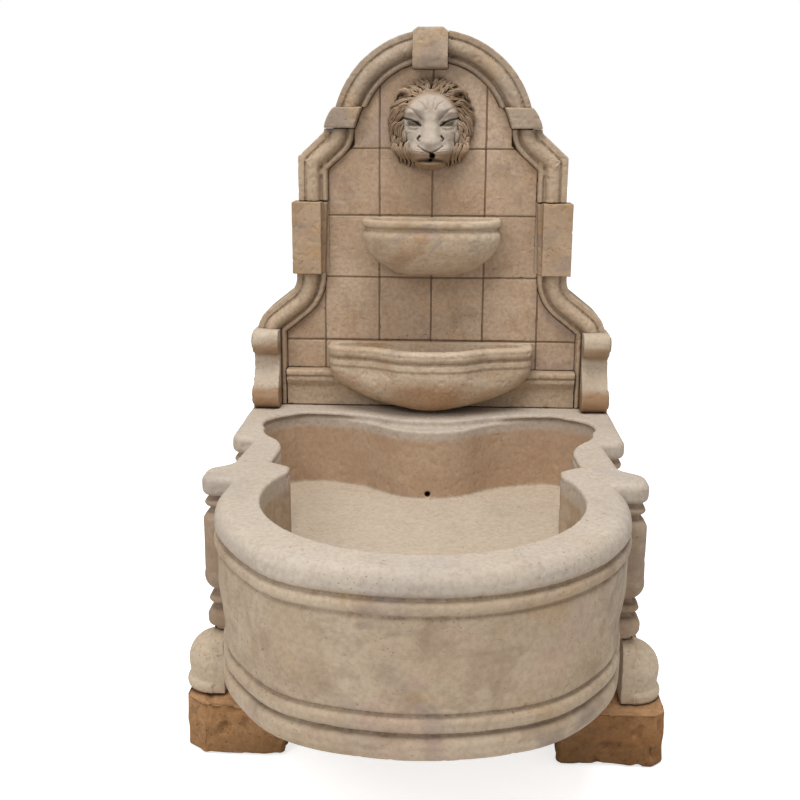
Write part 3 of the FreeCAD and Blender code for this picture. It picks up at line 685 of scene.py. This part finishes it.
# Section of the frame: distance in from its outer edge, and depth in front of the panel
SECTION = route((0.0, -0.030), [
    (0.0, 0.026), (0.001, 0.030, 0.005, 0.032), (0.0170, 0.032), (0.0192, 0.031, 0.0204, 0.029),
    (0.0212, 0.022), (0.0228, 0.022), (0.0240, 0.030), (0.033, 0.044, 0.045, 0.048),
    (0.057, 0.044, 0.0650, 0.029), (0.0668, 0.017), (0.0694, 0.016), (0.0715, 0.019),
    (0.079, 0.0255, 0.0862, 0.013), (0.089, 0.001), (0.089, -0.030), (0.0, -0.030)], 0.002)[:-1]
# Outer edges of the frame's right half: x, height above the rim, and a corner's radius.
# PLAQUE_X is the inner edge of the plaques.
ARCH_R = 0.302
ARCH_Z = 0.828
PLAQUE_X = 0.332
PLAQUE_LOW = 0.416
PLAQUE_HIGH = 0.634
SHOULDER = [(0.325, 0.848), (0.325, 0.838, 0.012), (0.404, 0.766), (0.404, PLAQUE_HIGH)]
PLAQUE = [(0.404, PLAQUE_HIGH), (0.413, PLAQUE_LOW)]
OGEE = [(0.413, PLAQUE_LOW), (0.413, 0.373, 0.060), (0.538, 0.274, 0.093), (0.538, 0.0)]


def moulding(name, path, side):
    """The frame's section run down a path of (x, height above the rim) on one side."""
    p = np.array(path, float)
    t = np.diff(p, axis=0)
    t /= np.linalg.norm(t, axis=1, keepdims=True)
    n = np.stack([t[:, 1], -t[:, 0]], 1)
    before = np.vstack([n[:1], n])
    after = np.vstack([n, n[-1:]])
    mitre = (before + after) / (1 + (before * after).sum(1, keepdims=True))
    rings = [[(side * (x + mx * d), PANEL_Y - y, RIM + z + mz * d) for d, y in SECTION]
             for (x, z), (mx, mz) in zip(p, mitre)]
    return stack(name, rings)


def frame_piece(node, path, side, seed):
    body = moulding(node + "_stone", path, side)
    carve(body, node, frame_stone, 0.0019, 1, seed, keep=0.6, **FRAME_WEAR)


def build_frame():
    ring = [(ARCH_R * math.sin(a), ARCH_Z + ARCH_R * math.cos(a)) for a in
            np.radians(np.linspace(0.0, 78.0, 110))]
    # the keystone sits a little left of the middle, so the left half of the arch is shorter
    for k, (side, word, start) in enumerate(((-1, "left", 0.058), (1, "right", 0.038))):
        arch_path = [q for q in ring if q[0] >= start]
        frame_piece("arch_" + word, arch_path, side, 2.0 + k)
        frame_piece("shoulder_" + word, soft(SHOULDER, 0.004), side, 4.0 + k)
        frame_piece("ogee_" + word, soft(OGEE, 0.004), side, 6.0 + k)
        node = "plaque_" + word
        strip = moulding(node + "_strip", PLAQUE, side)
        x0, x1 = sorted((side * PLAQUE_X, side * 0.421))
        # the block behind the moulding is 0.5 mm shorter than it at each end
        body = block(node + "_stone", (x0, PANEL_Y - 0.0655, RIM + PLAQUE_LOW + 0.0005),
                     (x1, SLAB_Y, RIM + PLAQUE_HIGH - 0.0005))
        combine(body, strip, "UNION")
        carve(body, node, warm_stone, 0.0022, 2, 8.0 + k, keep=0.7, **FRAME_WEAR)


build_frame()


# The bowls

def bowl(node, plan, edge, height, foot, wall, deep, round_foot, seed):
    """Half bowl against the panel.

    edge lists (depth below the rim, inset) down to the body, foot is the share of the plan's
    width and depth left at the bottom, and round_foot how far it turns into an ellipse.
    """
    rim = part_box(node)[1][2]
    outline = mirrored(soft([(plan[0][0], 0.060)] + plan[1:], 0.004))
    rings = [[(x, PANEL_Y + min(y, 0.0), rim - drop) for x, y in inset(outline, d)]
             for drop, d in edge]
    half, nose = plan[0][0], -plan[-1][1]
    first, drawn_in = edge[-1]
    for t in np.linspace(0.0, 1.0, 26)[1:]:
        sx, sy = (math.sqrt(1 - (1 - share ** 2) * t * t) for share in foot)
        blend = round_foot * min(1.0, t * 1.6)
        ring = []
        for x, y in inset(outline, drawn_in):
            y = min(y, 0.0)
            a = math.atan2(-y / nose, x / half)
            ex, ey = half * 0.97 * math.cos(a), -nose * 0.97 * math.sin(a)
            ring.append((sx * (x + (ex - x) * blend), PANEL_Y + sy * (y + (ey - y) * blend),
                         rim - first - (height - first) * t))
        rings.append(ring)
    body = stack(node + "_stone", rings)
    low = []
    for t in np.linspace(0.0, 1.0, 9):
        s = math.sqrt(1 - (1 - 0.55 ** 2) * t * t)
        grow = -0.007 * max(0.0, 1 - t * 9)
        z = rim + 0.002 - (deep + 0.002) * t
        low.append([(x * s, PANEL_Y + (min(y, -wall) + nose / 2) * s - nose / 2, z)
                    for x, y in inset(outline, wall + grow)])
    combine(body, stack("hollow", low), "DIFFERENCE")
    carve(body, node, bowl_stone, 0.0024, 2, seed, keep=0.8, **FRAME_WEAR)


UPPER = [(0.208, 0.0), (0.208, -0.112, 0.070), (0.142, -0.176, 0.100), (0.0, -0.182)]
LOWER = [(0.315, 0.0), (0.315, -0.106, 0.060), (0.176, -0.136, 0.110),
         (0.098, -0.196, 0.090), (0.0, -0.209)]
bowl("upper_bowl", UPPER, route((0.0, 0.008), [
    (0.003, 0.002, 0.011, 0.0), (0.018, 0.001, 0.0225, 0.005), (0.0255, 0.012), (0.0310, 0.0125),
    (0.0335, 0.010), (0.041, 0.004, 0.054, 0.002)], 0.003),
    0.170, (0.45, 0.45), 0.032, 0.075, 0.3, 21.0)
bowl("lower_bowl", LOWER, route((0.0, 0.010), [
    (0.004, 0.002, 0.016, 0.0), (0.028, 0.001, 0.0345, 0.007), (0.0370, 0.014), (0.0400, 0.013),
    (0.043, 0.005, 0.050, 0.004), (0.058, 0.003, 0.0625, 0.006), (0.0640, 0.012), (0.0655, 0.012),
    (0.0670, 0.006), (0.078, 0.005)], 0.003),
    0.190, (0.38, 0.70), 0.038, 0.095, 0.9, 22.0)

# Stones that are a worn copy of their CAD node
for k, name in enumerate(sorted(frame["nodes"])):
    kind = name.split("_")[0]
    if kind in ("keystone", "impost", "plinth"):
        carve(copy_of(name), name, frame_stone, 0.0024, 2, 2.0 + k, **FRAME_WEAR)
    elif kind == "console":
        carve(copy_of(name), name, console_stone, 0.0026, 3, 3.0 + k, **FRAME_WEAR)
    elif kind == "foot":
        carve(copy_of(name), name, limestone, 0.0028, 2, 4.0 + k, **FRAME_WEAR)
    elif kind == "support":
        carve(copy_of(name), name, block_stone, 0.0050, 3, 5.0 + k, keep=0.8, **BLOCK_WEAR)
    elif kind == "tile":
        carve(copy_of(name), name, tile_stone, 0.0028, 2, 7.0 + k, **TILE_WEAR)


MORTAR_BACK = 0.0018


def joint_strips():
    """Mortar a little behind the tiles' faces, in their gaps, and a bed beside the plaques."""
    boxes = [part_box(n) for n in frame["nodes"] if n.startswith("tile_")]
    verts, faces = [], []

    def strip(x0, x1, z0, z1):
        y0, y1 = PANEL_Y + MORTAR_BACK, SLAB_Y
        base = len(verts)
        verts.extend([(x, y, z) for x in (x0, x1) for y in (y0, y1) for z in (z0, z1)])
        for f in ((0, 1, 3, 2), (4, 6, 7, 5), (0, 4, 5, 1),
                  (2, 3, 7, 6), (0, 2, 6, 4), (1, 5, 7, 3)):
            faces.append(tuple(base + i for i in f))

    thin = 0.0002
    for a_low, a_high in boxes:
        for b_low, b_high in boxes:
            across = b_low[0] - a_high[0]
            z0, z1 = max(a_low[2], b_low[2]), min(a_high[2], b_high[2])
            if 0.001 < across < 0.006 and z1 - z0 > 0.05:
                strip(a_high[0] + thin, b_low[0] - thin, z0, z1)
            up = b_low[2] - a_high[2]
            x0, x1 = max(a_low[0], b_low[0]), min(a_high[0], b_high[0])
            if 0.001 < up < 0.006 and x1 - x0 > 0.05:
                strip(x0, x1, a_high[2] + thin, b_low[2] - thin)
    place(make_mesh("tile_mortar", verts, faces), grout, "panel_tile")
    verts.clear()
    faces.clear()
    for s in (-1, 1):
        strip(*sorted((s * 0.3145, s * (PLAQUE_X + 0.002))), RIM + PLAQUE_LOW, RIM + PLAQUE_HIGH)
    place(make_mesh("plaque_bed", verts, faces), frame_stone, "limestone")


joint_strips()


# The lion mask

# The mask is a relief: a depth in front of the panel over (u, v), all in millimetres.
# The spout opens in its mouth on x = 0.
SPOUT_V = -90.5
SPOUT_R = 8.3

# Depths of the right half of the face (u, v, depth), joined by a thin-plate surface.
FACE = (
    (0, 90, 58), (0, 74, 74), (0, 58, 83), (0, 44, 86), (0, 30, 87), (0, 14, 90), (0, -2, 95),
    (0, -20, 103), (0, -38, 112), (0, -50, 118), (0, -60, 117), (0, -70, 108), (0, -80, 103),
    (0, -90, 101), (0, -98, 90), (0, -106, 84), (0, -114, 90), (0, -124, 80), (0, -134, 46),
    (12, 60, 81), (14, 40, 88), (13, 14, 91), (13, -10, 98), (14, -35, 109), (13, -56, 117),
    (24, 16, 80), (25, -10, 84), (26, -34, 94), (28, -50, 103), (40, -54, 86), (24, -62, 107),
    (32, 34, 90), (46, 40, 88), (60, 37, 80), (72, 30, 68), (84, 20, 50),
    (30, 62, 77), (50, 60, 68), (66, 56, 56), (78, 46, 48), (36, 80, 58), (58, 76, 46),
    (31, 12, 68), (38, 20, 72), (52, 21, 70), (66, 15, 62), (50, 7, 74), (41, 7, 72), (60, 6, 70),
    (50, -7, 68), (36, -5, 68), (66, -4, 60), (75, 8, 55),
    (46, -20, 73), (62, -20, 65), (78, -15, 50), (88, 4, 40), (45, -38, 76), (62, -40, 60),
    (76, -38, 42), (88, -20, 34),
    (14, -72, 111), (28, -72, 110), (42, -72, 99), (53, -70, 84), (61, -68, 64), (68, -66, 44),
    (30, -84, 108), (44, -85, 95), (54, -86, 74), (15, -86, 107), (63, -88, 50), (40, -60, 88),
    (20, -114, 87), (34, -112, 77), (46, -108, 62), (54, -104, 44), (20, -125, 72), (36, -123, 54),
    (20, -134, 38), (88, 30, 40), (86, 46, 36), (76, 64, 34), (56, 86, 34), (30, 94, 44))

# Carved lines of the right half: points (u, v), half width and height
LINES = (
    (((25, 14), (38, 28), (54, 40), (68, 46)), 3.2, -4.5),
    (((30, 10), (42, 22), (58, 31), (76, 34)), 6.0, 5.0),
    (((29, -5), (40, 3), (56, 11), (80, 17)), 3.0, -10.0),
    (((34, -8), (46, -12), (62, -9), (76, 4)), 2.2, 2.8),
    (((36, -15), (50, -19), (66, -15)), 3.0, -3.0),
    (((24, 10), (26, -12), (31, -34)), 4.5, -3.0),
    (((14, 40), (22, 54), (36, 63)), 3.0, -3.6), (((8, 44), (9, 60), (14, 74)), 2.6, -2.6),
    (((31, -36), (37, -43), (34, -49)), 3.4, -12.0),
    (((0, -82), (18, -75), (36, -64)), 2.4, -6.0),
    (((56, -48), (63, -66), (58, -90)), 3.6, -4.0),
    (((0, -95), (24, -97), (42, -101), (52, -110)), 2.6, 3.0),
    (((0, -103), (26, -104), (42, -108), (50, -114)), 5.0, -15.0),
    (((0, -115), (22, -114), (40, -110)), 3.2, 6.0),
    (((0, -124), (22, -122)), 3.0, -3.0),
    (((22, -76), (34, -74), (46, -73)), 1.5, -2.2), (((20, -82), (34, -80), (48, -79)), 1.5, -2.2),
    (((60, -26), (74, -30)), 3.0, -2.0), (((0, -82), (0, -94)), 2.0, -3.0),
    (((50, -1), (51, -1)), 6.5, 3.0), (((50, -1), (50.5, -1)), 2.2, -5.0))


def thin_plate(points, u, v):
    """Depths at (u, v) on the thin-plate surface through the points and their mirrors."""
    p = np.array([q for a, b, d in points for q in ((a, b, d), (-a, b, d))[:2 if a else 1]], float)

    def kernel(r2):
        return 0.5 * r2 * np.log(np.maximum(r2, 1e-9))

    n = len(p)
    m = np.zeros((n + 3, n + 3))
    m[:n, :n] = kernel(((p[:, None, :2] - p[None, :, :2]) ** 2).sum(2)) + 12.0 * np.eye(n)
    m[:n, n] = m[n, :n] = 1.0
    m[:n, n + 1:] = p[:, :2]
    m[n + 1:, :n] = p[:, :2].T
    w = np.linalg.solve(m, np.concatenate([p[:, 2], np.zeros(3)]))
    total = w[n] + w[n + 1] * u + w[n + 2] * v
    for (a, b, _), weight in zip(p, w):
        total = total + weight * kernel((u - a) ** 2 + (v - b) ** 2)
    return total


def near_line(points, u, v):
    """Distance from (u, v) to a polyline, side of it, and how far along it from 0 to 1."""
    best = np.full(u.shape, 1e9)
    side = np.zeros(u.shape)
    along = np.zeros(u.shape)
    lengths = [math.dist(a, b) for a, b in zip(points, points[1:])]
    total, done = max(sum(lengths), 1e-6), 0.0
    for (a0, b0), (a1, b1), length in zip(points, points[1:], lengths):
        da, db = (a1 - a0) / max(length, 1e-6), (b1 - b0) / max(length, 1e-6)
        t = np.clip((u - a0) * da + (v - b0) * db, 0, length)
        du, dv = u - a0 - da * t, v - b0 - db * t
        far = du * du + dv * dv
        closer = far < best
        best = np.where(closer, far, best)
        side = np.where(closer, np.sign(da * dv - db * du), side)
        along = np.where(closer, (done + t) / total, along)
        done += length
    return np.sqrt(best), side, along


class Relief:
    """Depths on a square grid over (u, v), built up from locks and lines."""

    STEP = 0.8

    def __init__(self, low, high):
        self.us = np.arange(low[0], high[0] + self.STEP, self.STEP)
        self.vs = np.arange(low[1], high[1] + self.STEP, self.STEP)
        self.u, self.v = np.meshgrid(self.us, self.vs, indexing="ij")
        self.d = np.zeros(self.u.shape)

    def window(self, points, reach):
        a = np.array(points)
        i0, i1 = np.searchsorted(self.us, (a[:, 0].min() - reach, a[:, 0].max() + reach))
        j0, j1 = np.searchsorted(self.vs, (a[:, 1].min() - reach, a[:, 1].max() + reach))
        return slice(i0, i1), slice(j0, j1)

    def lock(self, points, half, root, tip, rise, strands, phase):
        """A lock of hair: a tapered round ridge made of a few strands, over what is there."""
        win = self.window(points, half + 1)
        if self.u[win].size == 0:
            return
        dist, side, along = near_line(points, self.u[win], self.v[win])
        taper = np.sqrt(np.maximum(1 - along ** 2.2, 0.0))
        width = half * np.minimum(1.0, 0.55 + along * 2.2) * taper + 0.7
        across = np.clip(dist / width, 0, 1) * side
        top = root + (tip - root) * along + rise * np.sin(np.pi * np.minimum(1.0, along * 1.12))
        arched = np.sqrt(1 - across ** 2)
        body = top + half * 1.25 * (arched - 1)
        turns = strands * 0.5 * (across + 1) + phase
        body -= 3.6 * (0.5 - 0.5 * np.cos(2 * np.pi * turns)) * arched
        inside = dist < width
        self.d[win] = np.where(inside & (body > self.d[win]), body, self.d[win])

    def line(self, points, half, height):
        """The window and the depths of a soft ridge, or of a groove with height below 0."""
        win = self.window(points, half * 3)
        dist = near_line(points, self.u[win], self.v[win])[0]
        return win, height * np.exp(-(dist / half) ** 2)

    def mesh(self, name):
        """A closed body: the blurred relief in front, a flat back and walls between them."""
        blur = self.d
        for axis in (0, 1):
            blur = (np.roll(blur, 1, axis) + 2 * blur + np.roll(blur, -1, axis)) / 4
        d = np.where(self.d > 0.5, np.maximum(blur, 0.5), 0.0)
        solid = d > 0
        cell = solid[:-1, :-1] & solid[1:, :-1] & solid[1:, 1:] & solid[:-1, 1:]
        used = np.zeros(d.shape, bool)
        for a, b in ((0, 0), (1, 0), (1, 1), (0, 1)):
            used[a:a + cell.shape[0], b:b + cell.shape[1]] |= cell
        index = np.full(d.shape, -1)
        index[used] = np.arange(used.sum())
        n = int(used.sum())
        u, v, depth = self.u[used], self.v[used], d[used]
        x, z = MASK_X + u / 1000, MASK_Z + v / 1000
        front = np.stack([x, PANEL_Y - depth / 1000, z], 1)
        back = np.stack([x, np.full(n, PANEL_Y - 0.0002), z], 1)
        i, j = np.nonzero(cell)
        quad = np.stack([index[i, j], index[i + 1, j], index[i + 1, j + 1], index[i, j + 1]], 1)
        faces = [quad, quad[:, ::-1] + n]
        padded = np.pad(cell, 1)
        for (di, dj), (a, b) in {(0, -1): ((0, 0), (1, 0)), (1, 0): ((1, 0), (1, 1)),
                                 (0, 1): ((1, 1), (0, 1)), (-1, 0): ((0, 1), (0, 0))}.items():
            beside = padded[1 + di:1 + di + cell.shape[0], 1 + dj:1 + dj + cell.shape[1]]
            i, j = np.nonzero(cell & ~beside)
            p, q = index[i + a[0], j + a[1]], index[i + b[0], j + b[1]]
            faces.append(np.stack([p, p + n, q + n, q], 1))
        return make_mesh(name, np.vstack([front, back]), np.vstack(faces).tolist())


def face_edge(angle):
    """Where the bare face ends, in a direction from its middle."""
    c, s = math.cos(angle), math.sin(angle)
    wide = 84 - 24 * max(0.0, min(1.0, (-s - 0.2) / 0.5))
    return wide * c, (88 * s if s > 0 else 96 * s)


def mane_locks():
    """Centre lines of the locks from the back of the mane to the front."""
    chance = np.random.default_rng(11)
    locks = []
    # share of the way from face to outline at root and tip, depth there, count, half width
    layers = ((0.40, 1.03, 30, 14, 44, 6.6), (0.16, 0.82, 44, 27, 36, 7.0),
              (-0.10, 0.54, 54, 38, 28, 6.6))
    for layer, (start, stop, d0, d1, count, half) in enumerate(layers):
        for k in range(count):
            angle = math.radians(-62 + 304 * (k + 0.5 + 0.3 * (chance.random() - 0.5)) / count)
            right = 1 if math.cos(angle) > 0 else -1
            up = math.sin(angle)
            crown = max(0.0, up - 0.55) / 0.45
            droop = (0.34 + 0.18 * chance.random()) * (1 - crown) + 0.10 * crown
            reach = stop + 0.18 * (chance.random() - 0.7) + 0.06 * crown
            swing = (3.0 + 4.5 * chance.random()) * (1 - 0.75 * crown)
            swing *= right if k % 3 else -right
            points = []
            for t in np.linspace(0, 1, 9):
                a = angle - right * droop * t ** 1.2
                fu, fv = face_edge(a)
                mu, mv = 131 * math.cos(a) + 2, 132 * math.sin(a) + 2
                share = start + (reach - start) * t
                bend = swing * math.sin(math.pi * 2.1 * t + 0.4)
                points.append((fu + (mu - fu) * share - bend * math.sin(a),
                               fv + (mv - fv) * share + bend * math.cos(a)))
            if max(-p[1] for p in points) > 118 and abs(points[-1][0]) < 46:
                continue
            locks.append((points, half * (0.85 + 0.3 * chance.random()), d0, d1,
                          8 + 3 * chance.random(), 2 + k % 2, chance.random()))
        # long wavy locks that hang beside the chin
        for s in (-1, 1):
            for k in range(5):
                u0 = 60 + 11 * k + 4 * chance.random()
                v0 = (-30 - 4 * k, -44, -62)[layer] + 8 * chance.random()
                length = (104 - 9 * k) * (1.0, 0.84, 0.62)[layer]
                wave_at = chance.random() * 2
                points = [(s * (u0 - 5 * t + 5.5 * math.sin(4.4 * t + wave_at)), v0 - length * t)
                          for t in np.linspace(0, 1, 9)]
                locks.append((points, half * 0.95, d0 + 2, d1, 8, 3, chance.random()))
    return locks


EARS = ((((64, 86), (76, 96), (92, 95), (102, 84), (104, 72)), 5.6, 47),
        (((60, 80), (68, 94), (82, 104)), 4.6, 51))


def build_mask():
    relief = Relief((-129, -133), (135, 134))
    u, v = relief.u, relief.v
    dome = 1 - (u / 118) ** 2 - ((v - 2) / 120) ** 2
    relief.d = np.where(dome > 0, 10 + 26 * np.sqrt(np.maximum(dome, 0)), 0)
    for points, half, d0, d1, rise, strands, phase in mane_locks():
        relief.lock(points, half, d0, d1, rise, strands, phase)
    for s in (-1, 1):
        for points, half, depth in EARS:
            relief.lock([(s * a, b) for a, b in points], half, depth, depth - 10, 4, 3, 0.2)
        win, change = relief.line([(s * 74, 80), (s * 84, 82)], 7.0, -15.0)
        relief.d[win] += change
    face = thin_plate(FACE, u, v)
    inside = (u / 92) ** 2 + ((v + 18) / 118) ** 2
    face = np.where(inside < 1, face, 0)
    for points, half, height in LINES:
        for s in (-1, 1):
            if s < 0 and all(a == 0 for a, b in points):
                continue
            win, change = relief.line([(s * a, b) for a, b in points], half, height)
            face[win] += change
    face = np.clip(face, 0, 119.5)
    relief.d = np.where(face > relief.d - 2, np.maximum(face, relief.d), relief.d)
    bore = (u + 1000 * MASK_X) ** 2 + (v - SPOUT_V) ** 2 < SPOUT_R ** 2
    relief.d = np.where(bore, 0.6, relief.d)
    obj = relief.mesh("lion_mask_stone")
    modified(obj, "DECIMATE", ratio=0.55)
    bake(obj)
    shade_smooth(obj)
    place(obj, mask_stone, "mask_stone", "lion_mask")


build_mask()


# Camera, light and floor

FOCAL_PIXELS = 1117


def look():
    """The camera, fitted to the photograph."""
    yaw, pitch, roll = math.radians(-2.49), math.radians(13.59), math.radians(0.32)
    ahead = Vector((math.sin(yaw) * math.cos(pitch), math.cos(yaw) * math.cos(pitch),
                    -math.sin(pitch)))
    level = Vector((math.cos(yaw), -math.sin(yaw), 0.0))
    up = level.cross(ahead)
    right = level * math.cos(roll) + up * math.sin(roll)
    top = up * math.cos(roll) - level * math.sin(roll)
    data = bpy.data.cameras.new("camera")
    data.sensor_width = 36.0
    data.lens = 36.0 * FOCAL_PIXELS / 800
    cam = bpy.data.objects.new("camera", data)
    bpy.context.scene.collection.objects.link(cam)
    m = Matrix((right, top, -ahead)).transposed().to_4x4()
    m.translation = Vector((0.055, -3.435 + PANEL_Y, 0.844 + RIM))
    cam.matrix_world = m
    bpy.context.scene.camera = cam


look()


def lamp(name, where, at, size, power):
    """A square lamp that faces a point."""
    data = bpy.data.lights.new(name, "AREA")
    data.size = size
    data.energy = power
    obj = bpy.data.objects.new(name, data)
    obj.location = where
    obj.rotation_mode = "QUATERNION"
    obj.rotation_quaternion = (Vector(at) - Vector(where)).to_track_quat("-Z", "Y")
    bpy.context.scene.collection.objects.link(obj)


lamp("top", (0.0, -1.4, 6.4), (0.0, -0.3, 0.0), 3.4, 255.0)
lamp("key", (-2.6, -4.2, 4.6), (0.0, 0.2, 0.9), 2.0, 95.0)

# a white backdrop for the camera over a dimmer sky that lights the stone
world = bpy.data.worlds.new("studio")
bpy.context.scene.world = world
world.use_nodes = True
tree = world.node_tree
tree.nodes.clear()
out = tree.nodes.new("ShaderNodeOutputWorld")
mixer = tree.nodes.new("ShaderNodeMixShader")
for socket, strength in ((1, 0.54), (2, 1.0)):
    sky = tree.nodes.new("ShaderNodeBackground")
    sky.inputs["Color"].default_value = (1.0, 1.0, 1.0, 1.0)
    sky.inputs["Strength"].default_value = strength
    tree.links.new(sky.outputs[0], mixer.inputs[socket])
path = tree.nodes.new("ShaderNodeLightPath")
tree.links.new(path.outputs["Is Camera Ray"], mixer.inputs[0])
tree.links.new(mixer.outputs[0], out.inputs[0])

bpy.ops.mesh.primitive_plane_add(size=60.0)
ground = bpy.context.object
ground.name = "ground"
floor = Nodes("ground")
floor.feed(floor.shader.inputs["Base Color"], (0.80, 0.80, 0.80, 1.0))
floor.feed(floor.shader.inputs["Roughness"], 0.9)
floor.feed(floor.shader.inputs["Specular IOR Level"], 0.0)
# seen by the camera the floor is lifted to the white of the backdrop and keeps the shadow
ray = floor.new("LightPath").outputs["Is Camera Ray"]
glow = floor.new("Emission", Strength=floor.product(ray, 0.72))
both_shaders = floor.new("AddShader")
floor.feed(both_shaders.inputs[0], floor.shader.outputs[0])
floor.feed(both_shaders.inputs[1], glow.outputs[0])
floor.feed(floor.out.inputs[0], both_shaders.outputs[0])
ground.data.materials.append(floor.mat)

bpy.context.scene.view_settings.view_transform = "Standard"
